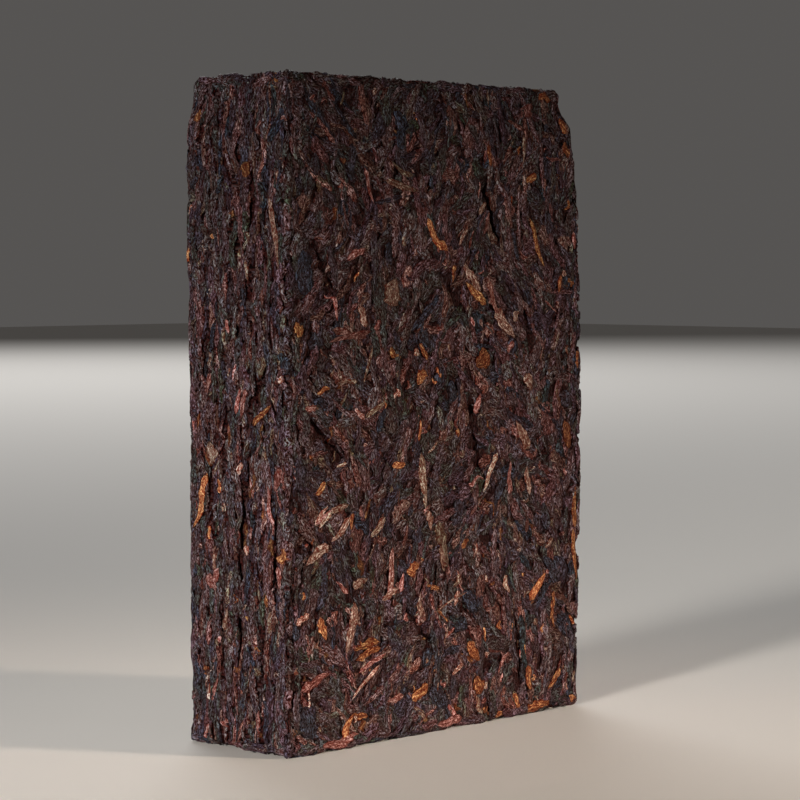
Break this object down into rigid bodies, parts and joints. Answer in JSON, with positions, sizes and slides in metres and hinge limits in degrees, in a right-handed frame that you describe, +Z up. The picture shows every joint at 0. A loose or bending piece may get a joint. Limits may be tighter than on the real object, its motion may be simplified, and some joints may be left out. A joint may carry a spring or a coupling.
{
  "type": "pressed tea brick",
  "caption": "Rectangular brick of compressed dark tea leaves, standing on its short end, with a crumbled corner.",
  "frame": {"origin": "middle of the brick's base, on the surface that it stands on", "axes": "+Z up along the brick's length, -Y out of the broad face that the picture shows, -X out of the narrow face that it shows"},
  "size_m": [0.091, 0.0306, 0.14],
  "materials": {
    "pressed_tea": "matte, dry pressed leaf, near-black brown with rust and tan stems"
  },
  "bodies": {
    "root": {"tea_brick": "pressed_tea"}
  },
  "joints": []
}
